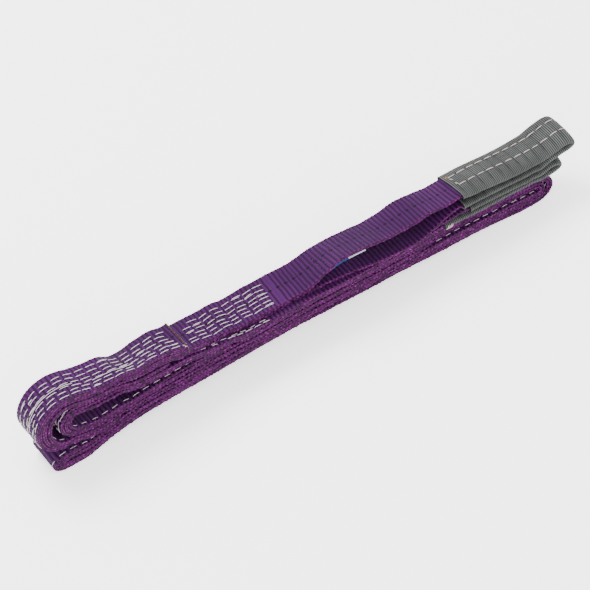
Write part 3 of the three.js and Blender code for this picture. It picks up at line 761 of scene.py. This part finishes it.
class Nodes:
    """A short way to write a node tree."""

    def __init__(self, name):
        self.material = bpy.data.materials.new(name)
        self.material.use_nodes = True
        self.tree = self.material.node_tree
        self.tree.nodes.clear()
        out = self.tree.nodes.new("ShaderNodeOutputMaterial")
        self.shader = self.tree.nodes.new("ShaderNodeBsdfPrincipled")
        self.tree.links.new(self.shader.outputs[0], out.inputs[0])

    def link(self, value, socket):
        if isinstance(value, bpy.types.NodeSocket):
            self.tree.links.new(value, socket)
        elif hasattr(value, "__len__") and len(value) == 3 and socket.type == "RGBA":
            socket.default_value = (*value, 1)
        else:
            socket.default_value = value

    def math(self, kind, a, b=0.0, c=0.0):
        node = self.tree.nodes.new("ShaderNodeMath")
        node.operation = kind
        for value, socket in zip((a, b, c), node.inputs):
            self.link(value, socket)
        return node.outputs[0]

    def uv(self):
        """The UV vector, and its two parts."""
        node = self.tree.nodes.new("ShaderNodeUVMap")
        node.uv_map = "cloth"
        split = self.tree.nodes.new("ShaderNodeSeparateXYZ")
        self.tree.links.new(node.outputs[0], split.inputs[0])
        return node.outputs[0], split.outputs[0], split.outputs[1]

    def position(self):
        return self.tree.nodes.new("ShaderNodeTexCoord").outputs["Object"]

    def value(self, key):
        node = self.tree.nodes.new("ShaderNodeAttribute")
        node.attribute_name = key
        return node.outputs["Fac"]

    def scaled(self, vector, scale):
        node = self.tree.nodes.new("ShaderNodeMapping")
        self.tree.links.new(vector, node.inputs[0])
        node.inputs["Scale"].default_value = scale
        return node.outputs[0]

    def noise(self, vector, scale, detail=2.0):
        node = self.tree.nodes.new("ShaderNodeTexNoise")
        self.tree.links.new(vector, node.inputs["Vector"])
        node.inputs["Scale"].default_value = scale
        node.inputs["Detail"].default_value = detail
        node.inputs["Roughness"].default_value = 0.55
        return node.outputs[0]

    def mix(self, factor, a, b):
        node = self.tree.nodes.new("ShaderNodeMix")
        node.data_type = "RGBA"
        self.link(factor, node.inputs[0])
        self.link(a, node.inputs[6])
        self.link(b, node.inputs[7])
        return node.outputs[2]

    def ramp(self, value, low, high):
        node = self.tree.nodes.new("ShaderNodeMapRange")
        node.interpolation_type = "SMOOTHSTEP"
        self.link(value, node.inputs[0])
        node.inputs[1].default_value = low
        node.inputs[2].default_value = high
        return node.outputs[0]

    def bumped(self, height, strength, distance):
        node = self.tree.nodes.new("ShaderNodeBump")
        node.inputs["Strength"].default_value = strength
        node.inputs["Distance"].default_value = distance
        self.link(height, node.inputs["Height"])
        self.tree.links.new(node.outputs[0], self.shader.inputs["Normal"])


def fabric(nodes, colour, roughness, sheen, tint):
    nodes.link(colour, nodes.shader.inputs["Base Color"])
    nodes.link(roughness, nodes.shader.inputs["Roughness"])
    nodes.shader.inputs["Sheen Weight"].default_value = sheen
    nodes.shader.inputs["Sheen Roughness"].default_value = 0.4
    nodes.shader.inputs["Sheen Tint"].default_value = (*tint, 1)
    nodes.shader.inputs["Specular IOR Level"].default_value = 0.07
    return nodes.material


def violet_material(name):
    n = Nodes(name)
    vector, u, v = n.uv()
    relief = n.value("relief")
    off = n.math("ABSOLUTE", n.math("SUBTRACT", v, 0.5))
    yarn = n.math("SINE", n.math("MULTIPLY", v, 2 * math.pi * YARNS_ACROSS))
    fuzz = n.noise(n.scaled(vector, (5.0, 60.0, 1.0)), 1.0, 3.0)
    speck = n.noise(n.position(), 420.0, 2.0)
    patch = n.noise(n.position(), 26.0, 2.0)
    body = n.mix(n.ramp(patch, 0.32, 0.70), VIOLET_DEEP, VIOLET_BODY)
    body = n.mix(n.math("MULTIPLY", n.ramp(fuzz, 0.4, 0.75), 0.45), body, VIOLET_PALE)
    # Painted shade: darker towards the rib grooves, by the rib height in relief.
    colour = n.mix(n.ramp(relief, -0.15, 0.95), VIOLET_GROOVE_SHADE, body)
    stripe = n.math("MULTIPLY", n.ramp(off, 0.440, 0.452), n.math("SUBTRACT", 1.0, n.ramp(off, 0.472, 0.482)))
    colour = n.mix(n.math("MULTIPLY", stripe, n.ramp(relief, 0.25, 0.8)), colour, MAGENTA_STRIPE)
    # Painted shade between the woven edge's lumps, and a speckled painted highlight on their tops, by the
    # lump height in relief.
    edge = n.mix(n.ramp(relief, 0.10, 1.02), MAGENTA_RECESS_SHADE, MAGENTA_BODY)
    edge = n.mix(n.math("MULTIPLY", n.ramp(speck, 0.48, 0.72), n.ramp(relief, 0.3, 0.9)), edge, MAGENTA_LUMP_HIGHLIGHT)
    colour = n.mix(n.ramp(off, 0.488, 0.505), colour, edge)
    pair = n.math("FRACT", n.math("MULTIPLY", u, 0.5))
    dash = n.math("MULTIPLY", n.ramp(pair, 0.26, 0.30), n.math("SUBTRACT", 1.0, n.ramp(pair, 0.66, 0.72)))
    centre = n.math("MULTIPLY", dash, n.math("SUBTRACT", 1.0, n.ramp(off, 0.017, 0.027)))
    colour = n.mix(n.math("MULTIPLY", centre, 0.95), colour, VIOLET_LINE)
    colour = n.mix(n.math("MULTIPLY", n.value("pressed"), 0.2), colour, VIOLET_PRESSED)
    n.bumped(n.math("ADD", n.math("MULTIPLY", yarn, 0.35), fuzz), 0.55, 0.00022)
    return fabric(n, colour, n.math("MULTIPLY_ADD", fuzz, 0.25, 0.45), 0.012, (0.75, 0.4, 0.9))


def grey_material(name):
    n = Nodes(name)
    vector, _, _ = n.uv()
    relief = n.value("relief")
    fuzz = n.noise(n.scaled(vector, (6.0, 160.0, 1.0)), 1.0, 3.0)
    patch = n.noise(n.position(), 34.0, 2.0)
    body = n.mix(n.ramp(patch, 0.35, 0.68), GREY_DEEP, GREY_BODY)
    body = n.mix(n.math("MULTIPLY", n.ramp(fuzz, 0.42, 0.72), 0.45), body, GREY_PALE)
    # Painted shade: darker in the rib grooves and the stitch creases, by relief.
    colour = n.mix(n.ramp(relief, 0.0, 0.95), GREY_GROOVE_SHADE, body)
    n.bumped(fuzz, 0.5, 0.00015)
    return fabric(n, colour, n.math("MULTIPLY_ADD", fuzz, 0.2, 0.5), 0.015, (0.9, 0.95, 0.95))


def thread_material(name, light, shade):
    n = Nodes(name)
    _, u, v = n.uv()
    twist = n.math("SINE", n.math("MULTIPLY", n.math("ADD", n.math("MULTIPLY", u, 1.1), v), 2 * math.pi))
    fuzz = n.noise(n.position(), 900.0, 2.0)
    colour = n.mix(n.ramp(n.math("ADD", twist, fuzz), 0.0, 1.0), shade, light)
    n.bumped(n.math("ADD", twist, fuzz), 0.5, 0.0001)
    return fabric(n, colour, 0.55, 0.2, (1, 1, 1))


def label_material(name):
    n = Nodes(name)
    _, u, v = n.uv()
    warp = n.math("SINE", n.math("MULTIPLY", u, 900.0))
    weft = n.math("SINE", n.math("MULTIPLY", v, 700.0))
    weave = n.math("MULTIPLY", warp, weft)
    mottle = n.noise(n.position(), 120.0, 3.0)
    blue = n.mix(mottle, (0.004, 0.036, 0.150), (0.008, 0.060, 0.210))
    white = n.mix(mottle, (0.42, 0.43, 0.46), (0.55, 0.55, 0.58))
    colour = n.mix(n.ramp(u, 0.57, 0.58), blue, white)
    n.bumped(n.math("ADD", weave, mottle), 0.3, 0.0001)
    return fabric(n, colour, n.math("MULTIPLY_ADD", mottle, 0.2, 0.3), 0.05, (1, 1, 1))


VIOLET = violet_material("violet_ribbed_web")
GREY = grey_material("grey_sleeve_weave")
WHITE = thread_material("white_thread", (0.62, 0.59, 0.58), (0.26, 0.22, 0.26))
PINK = thread_material("sleeve_thread", (0.60, 0.51, 0.48), (0.28, 0.21, 0.20))
TAN = thread_material("tan_thread", (0.30, 0.16, 0.08), (0.13, 0.06, 0.03))
PURPLE = thread_material("violet_thread", (0.055, 0.010, 0.075), (0.018, 0.003, 0.028))
SCORCH = thread_material("sealed_edge", (0.060, 0.022, 0.018), (0.016, 0.006, 0.008))
LABEL = label_material("label_cloth")


# ---- Webs ----

def cloth(obj, line, node):
    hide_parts(node)
    span(line) / 1000
    return obj


def web_piece(name, line, seed, bands=()):
    """A web that takes the place of the CAD node of the same name."""
    return cloth(web(name, line, VIOLET, seed, bands), line, name)


# The weave is pressed smooth beside the step, and where the upper splice ends.
STEP_BAND = (SPLIT_X - 4.5, SPLIT_X - 0.5)
SPLICE_BAND = (UPPER_SPLICE_X - SPLIT_X + 2.0, UPPER_SPLICE_X - SPLIT_X + 5.5)
EYE_X = LOWER_HINGE_X + STEP

one_body = body_line(1, 0.0, SPLIT_X)
two_body = body_line(2, SPLIT_X, LOWER_STEP_X)
for name, line, seed, bands in (
    ("web_one_body", one_body, 11, ()),
    ("web_two_body", two_body, 12, ()),
    ("web_two_tail", tail_line(UPPER_SPLICE, SPLIT_X), 13, [STEP_BAND]),
    ("web_one_tail", tail_line(LOWER_SPLICE, SPLIT_X), 14, ()),
):
    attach(web_piece(name, line, seed, bands), "bundle")

lower_eye_line = even_line(
    [along(ply("b1", 2), "b1", SPLIT_X, LOWER_HINGE_X, lower_splice_pitch)]
    + eye_rows(LOWER_EYE, EYE_X, EYE_X)
    + [along(ply("b1", 1), "b1", LOWER_HINGE_X, SPLIT_X, lower_splice_pitch)]
)
lower_eye = web_piece("web_one_eye_loop", lower_eye_line, 15)
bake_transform(lower_eye)

for name, n, height, side, seed in (
    ("web_two_top_root", 2, upper_eye_top, "upper_top", 16),
    ("web_two_bottom_root", 1, upper_eye_bottom, "upper_bottom", 17),
):
    root_line = even_line([
        along(ply("a1", n), "a1", SPLIT_X, LOWER_HINGE_X, upper_splice_pitch),
        along(height, side, EYE_X, ROOT_END_X, lower_splice_pitch),
    ])
    root = web_piece(name, root_line, seed, [SPLICE_BAND])
    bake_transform(root)

upper_eye_line = even_line(eye_rows(UPPER_EYE, ROOT_END_X, ROOT_END_X))
upper_eye = web_piece("web_two_eye_loop", upper_eye_line, 18)
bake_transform(upper_eye)

# ---- Sleeves and their seams ----

upper_sleeve_line = even_line(eye_rows(UPPER_EYE, UPPER_SLEEVE_X, UPPER_SLEEVE_X))
lower_sleeve_line = even_line(eye_rows(LOWER_EYE, LOWER_SLEEVE_TOP_X, LOWER_SLEEVE_BOTTOM_X))
for name, line, seed, body in (
    ("upper_wear_sleeve", upper_sleeve_line, 21, "upper_eye"),
    ("lower_wear_sleeve", lower_sleeve_line, 22, "lower_eye"),
):
    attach(cloth(sleeve(name, line, GREY, seed), line, name), body)

SEAM_SUNK = 0.1  # how far the sleeves' seams lie under the sleeves' faces
SLEEVE_THREAD = 0.33
SLEEVE_DASH = 7.3
SLEEVE_SEAM_MARGIN = 4.0


def sew_sleeve(eye, line, seed):
    """Two lengthwise rows on both faces, two stitches across each end, and loose tails at the first end."""
    rng = np.random.default_rng(seed)
    seam, tails = Thread(), Thread()
    on_sleeve = line.copy()
    on_sleeve[:, HALF] = SLEEVE_THICK / 2 - SEAM_SUNK
    last = span(line) - SLEEVE_SEAM_MARGIN
    for y in SLEEVE_ROWS:
        for side in (1, -1):
            seam.row(rng, on_sleeve, y, side, SLEEVE_DASH, SLEEVE_STITCH, SLEEVE_THREAD,
                     start=SLEEVE_SEAM_MARGIN, end=last, wobble=0.06)
    low, high = SLEEVE_ROWS
    middle = (low + high) / 2
    for at, lean in ((SLEEVE_SEAM_MARGIN + 1.0, -3.0), (last, 1.0)):
        for y0, y1 in ((low + 0.3, middle - 0.5), (middle + 0.3, high - 0.5)):
            seam.crosswise(on_sleeve, at, y0, y1, SLEEVE_THREAD, CROSS_STITCH, lean)
    seam.build(f"{eye}_sleeve_stitches", PINK, f"{eye}_eye", f"{eye}_sleeve_seam_thread")
    for k in range(5):
        from_y, to_y = high - 0.8 + rng.uniform(0, 1.2), high + rng.uniform(1.5, 3.8)
        tails.crosswise(on_sleeve, 1.2 + 0.8 * k, from_y, to_y, 0.4, CROSS_STITCH, lean=1.5)
    tails.build(f"{eye}_sleeve_thread_tails", TAN, f"{eye}_eye")


sew_sleeve("upper", upper_sleeve_line, 31)
sew_sleeve("lower", lower_sleeve_line, 32)

end_stitches = Thread()
mouth = lower_sleeve_line[-1]
for k in range(4):
    t = np.linspace(-1, 1, 9)
    path = np.column_stack([
        mouth[X] + 1.6 + 1.5 * k + 0.8 * t,
        mouth[Y] - SLEEVE_WIDTH / 2 - 0.9 * (1 - t * t),
        mouth[Z] - mouth[DROOP] + 1.9 * t,
    ])
    end_stitches.strand(path, 0.36)
end_stitches.build("lower_sleeve_end_stitches", PINK, "lower_eye")

# ---- Edge seams ----

EDGE_THREAD, EDGE_DASH, EDGE_PITCH = 0.26, 5.4, 9.8
upper_splice_end = length_at(one_body, UPPER_TAIL_X + 8, 140, True)

for edge, y, seed in (("near", -EDGE_SEAM_Y, 41), ("far", EDGE_SEAM_Y, 42)):
    rng = np.random.default_rng(seed)
    for kind, line, side, start in (("needle", one_body, -1, upper_splice_end), ("bobbin", two_body, 1, 2.0)):
        seam = Thread()
        seam.row(rng, line, y, side, EDGE_DASH, EDGE_PITCH, EDGE_THREAD, start, span(line))
        seam.build(f"{edge}_edge_{kind}_stitches", WHITE, "bundle", f"{edge}_edge_{kind}_thread")

# ---- Splice stitches ----

SPLICE_ROWS = (-11.6, -8.0, -4.2, -0.4, 3.8, 8.4)
SPLICE_THREAD = 0.28


def sew_upper_splice():
    """The rows beyond the step on the tail, those before it on web one, and strays round the left fold."""
    rng = np.random.default_rng(51)
    thread = Thread()
    tail = tail_line(UPPER_SPLICE, UPPER_SPLICE_X)
    tail_end = length_at(tail, 1.0, 0, False) - 5
    for y in SPLICE_ROWS:
        dash, pitch = rng.uniform(7.2, 8.4), rng.uniform(10.2, 11.2)
        thread.row(rng, one_body, y, -1, dash, pitch, SPLICE_THREAD * 1.1, start=2.0 + 8 * rng.uniform(),
                   end=upper_splice_end, wobble=0.25, yaw=0.05, doubled=0.07)
        thread.row(rng, tail, y * 0.95 + 0.8, -1, dash, pitch * 0.96, SPLICE_THREAD,
                   start=0.5 + 9 * rng.uniform(), end=tail_end, wobble=0.2, yaw=0.09, doubled=0.12)
    for y, first, last in ((-8.6, 4, 20), (-5.6, 44, 84), (-2.2, 100, 160)):
        thread.follow(np.random.default_rng(first), one_body, y, -1, first, last, SPLICE_THREAD)
    normal = normals_of(one_body)
    for _ in range(9):
        at = rng.uniform(96, 186)
        y = rng.choice(SPLICE_ROWS) + rng.normal(0, 0.8)
        length, radius = rng.uniform(4.5, 7.5), SPLICE_THREAD * rng.uniform(0.9, 1.4)
        thread.stitch(one_body, normal, at, length, y, -1, radius, rng.normal(0, 0.12), lift=0.12)
    thread.build("upper_splice_stitches", WHITE, "bundle", "upper_splice_thread")


def sew_lower_splice():
    """The rows on web two and on the tail, and the near row that shows between the runs."""
    rng = np.random.default_rng(52)
    thread = Thread()
    back = two_body[::-1].copy()
    tail = tail_line(LOWER_SPLICE, LOWER_SPLICE_X)
    back_end = length_at(back, LOWER_TAIL_X - 6, 100, True)
    tail_end = length_at(tail, LOWER_STEP_X + 1, 0, False)
    for y in SPLICE_ROWS:
        dash, pitch = rng.uniform(5.0, 6.2), rng.uniform(8.4, 9.6)
        thread.row(rng, back, y, -1, dash, pitch, SPLICE_THREAD, start=2.5, end=back_end,
                   wobble=0.25, yaw=0.1, doubled=0.3)
        thread.row(rng, tail, y, -1, dash, pitch, SPLICE_THREAD, start=1.0, end=tail_end - 1,
                   wobble=0.25, yaw=0.1, doubled=0.2)
    for dash, pitch, start, end in ((6.6, 8.0, 0.5, 40), (4.6, 9.8, 46, tail_end - 10)):
        thread.row(rng, tail, -13.2, -1, dash, pitch, SPLICE_THREAD, start, end, wobble=0.15, yaw=0.03)
    thread.build("lower_splice_stitches", WHITE, "bundle", "lower_splice_thread")


sew_upper_splice()
sew_lower_splice()

# ---- Sealed end and thread ends at the step ----

web_end = one_body[0]
end_top = web_end[Z] + web_end[HALF]


def seal_end(rng):
    """Three melted beads across the cut end, and one that has run down its near side."""
    seal = Thread()
    for radius, forward, drop in ((0.62, 0.1, 0.0), (0.5, 0.45, 0.9), (0.55, -0.5, 0.0)):
        y = np.linspace(-14.6, 14.6, 44)
        x = forward + 0.12 * rng.normal(size=44)
        z = end_top + 0.25 - drop + 0.12 * rng.normal(size=44)
        seal.strand(np.column_stack([x, y + web_end[Y], z + web_end[TILT] * -y]), radius)
    down = np.linspace(0, 1, 14)
    run_y = web_end[Y] - 15.3 - 0.3 * np.sin(down * 9)
    run_z = end_top + web_end[TILT] * 15 - 9.5 * down
    seal.strand(np.column_stack([0.3 + 1.6 * down, run_y, run_z]), 0.42)
    seal.build("sealed_web_end", SCORCH, "bundle", slot="violet_web")


def loose_ends(rng):
    """Short thread ends that stick out at the near corner of the step."""
    ends = Thread()
    for _ in range(7):
        start = np.array([rng.uniform(-3.2, -0.4), -12.6 + rng.normal(0, 0.6), end_top + 0.2])
        end = start + (rng.uniform(0.5, 3.5), rng.uniform(-2.6, 0.6), rng.uniform(-0.6, 0.3))
        t = np.linspace(0, 1, 7)[:, None]
        ends.strand(start * (1 - t) + end * t + (0, 0, 1) * np.sin(t * math.pi) * 0.5, 0.34)
    ends.build("step_thread_ends", WHITE, "bundle")


rng = np.random.default_rng(61)
seal_end(rng)
loose_ends(rng)

# ---- Label ----

LABEL_HALF_WIDTH, LABEL_HALF_THICK = 13.2, 0.28
LABEL_START_X, LABEL_END_X = 133.0, 172.0
LABEL_DEPTH = PLY_PITCH / 2 + 1.1  # how far it lies under the middle of the upper leg


def build_label():
    """A stiff flap under the upper leg, with a slight wave across it."""
    line = even_line([along(upper_eye_top, "upper_top", LABEL_START_X, LABEL_END_X)])
    line[:, Z] -= LABEL_DEPTH
    line[:, TILT] -= 0.09 * smooth(0, 12, np.arange(len(line)) * STEP)
    rings = len(line)
    normal = normals_of(line)
    columns, coords = [], []
    for sign in (1, -1):
        for v in np.linspace(-LABEL_HALF_WIDTH, LABEL_HALF_WIDTH, 15) * sign:
            columns.append(place(line, normal, v - 0.6, sign * LABEL_HALF_THICK + 0.10 * math.sin(v * 0.5)))
            coords.append(np.column_stack([np.linspace(0, 1, rings), np.full(rings, v / WEB_WIDTH + 0.5)]))
    points = np.stack(columns, 1).reshape(-1, 3)
    uv = np.stack(coords, 1).reshape(-1, 2)
    label = make_mesh("label_flap", points, capped_faces(rings, len(columns)), uv, LABEL)
    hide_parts("label")
    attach(label, "label_flap")


build_label()

tack = Thread()
top_leg = even_line([along(upper_eye_top, "upper_top", 126.0, 150.0)])
for at in (7.0, 12.0):
    for y in np.arange(-11, 11.1, 3.4):
        tack.crosswise(top_leg, at, y - 1.1, y + 1.1, 0.2, TACK_STITCH)
tack.build("label_tack_stitches", PURPLE, "upper_eye", "label_tack_thread")

# ---- Floor, light and camera ----

bpy.ops.mesh.primitive_plane_add(size=12, location=(0, 0, 0))
floor = bpy.context.object
floor.name = "floor"
plain = Nodes("pale_floor")
plain.shader.inputs["Base Color"].default_value = (0.93, 0.93, 0.93, 1)
plain.shader.inputs["Roughness"].default_value = 0.9
plain.shader.inputs["Emission Color"].default_value = (1, 1, 1, 1)
plain.shader.inputs["Emission Strength"].default_value = 1.1
floor.data.materials.append(plain.material)

world = bpy.data.worlds.new("studio")
world.use_nodes = True
background = world.node_tree.nodes["Background"]
background.inputs["Color"].default_value = (1, 1, 1, 1)
background.inputs["Strength"].default_value = 2.1
bpy.context.scene.world = world


def area(name, location, target, size, power):
    data = bpy.data.lights.new(name, "AREA")
    data.size, data.energy = size, power
    lamp = bpy.data.objects.new(name, data)
    bpy.context.scene.collection.objects.link(lamp)
    lamp.location = location
    lamp.rotation_euler = (Vector(target) - Vector(location)).to_track_quat("-Z", "Y").to_euler()


area("key", (-0.3, 0.9, 1.6), (0, 0, 0), 0.9, 60)
area("fill", (-1.4, -1.2, 1.2), (0, 0, 0), 1.2, 20)
area("front", (1.2, -1.3, 0.5), (0.1, 0, 0.03), 0.8, 13)

AZIMUTH, ELEVATION = math.radians(-36.04), math.radians(50.10)
DISTANCE = 2.757
VIEW_CENTRE_X = 112.4
target = Vector(((VIEW_CENTRE_X - SHIFT_X) / 1000, 0, 0.0320))
back = Vector(
    (
        math.sin(AZIMUTH) * math.cos(ELEVATION),
        -math.cos(AZIMUTH) * math.cos(ELEVATION),
        math.sin(ELEVATION),
    )
)
camera_data = bpy.data.cameras.new("camera")
camera_data.sensor_width = 36
camera_data.lens = 213.56
camera = bpy.data.objects.new("camera", camera_data)
bpy.context.scene.collection.objects.link(camera)
camera.location = target + back * DISTANCE
camera.rotation_euler = (-back).to_track_quat("-Z", "Y").to_euler()
bpy.context.scene.camera = camera
